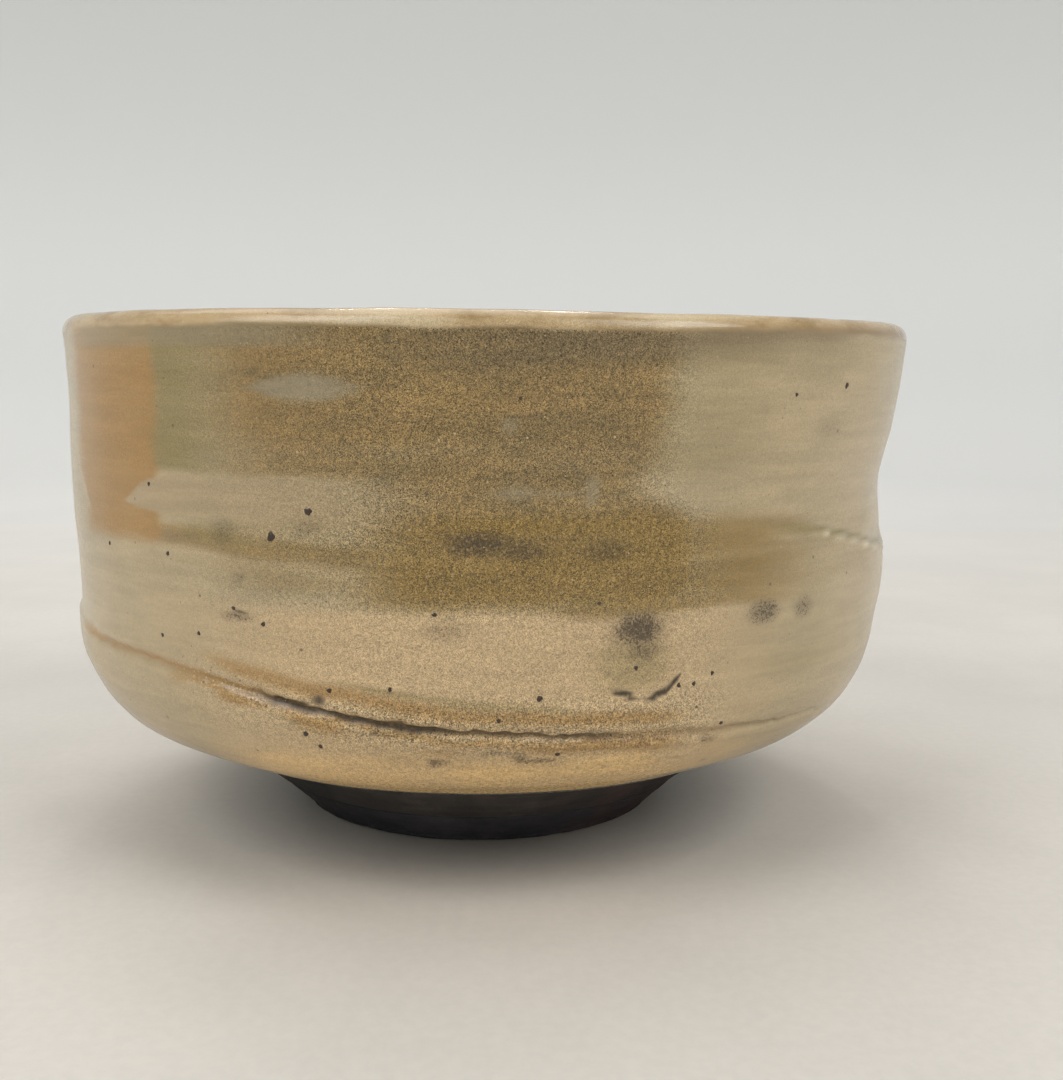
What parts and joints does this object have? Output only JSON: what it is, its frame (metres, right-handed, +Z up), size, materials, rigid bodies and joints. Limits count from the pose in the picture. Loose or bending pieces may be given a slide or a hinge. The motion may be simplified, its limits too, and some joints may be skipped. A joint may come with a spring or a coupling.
{
  "type": "matcha bowl",
  "caption": "Stoneware tea bowl with upright walls, a rounded turn to a sloping base and a flared foot of bare clay, glazed inside and out, for whisking and drinking matcha.",
  "frame": {"origin": "on the surface the bowl stands on, under the middle of the lip", "axes": "+Z up out of the mouth; -Y is the front, with the deepest part of the tool groove; +X is the side pressed in by a finger above a bulge"},
  "size_m": [0.12, 0.12, 0.0703],
  "materials": {
    "bare_clay": "unglazed dark stoneware, dry and slightly sandy",
    "foot_clay": "unglazed coarse stoneware fired brown-black, reddish on one side",
    "outer_glaze": "speckled ochre and beige ash glaze, soft gloss",
    "lip_glaze": "thin pale tan glaze over the lip, glossy",
    "inner_glaze": "beige ash glaze with throwing rings, glossy",
    "iron_spots": "dark iron specks melted through the glaze, satin"
  },
  "bodies": {
    "root": {"clay_body": "bare_clay", "foot_ring": "foot_clay", "outer_glaze": "outer_glaze", "lip_glaze": "lip_glaze", "inner_glaze": "inner_glaze", "iron_spots": "iron_spots"}
  },
  "joints": []
}
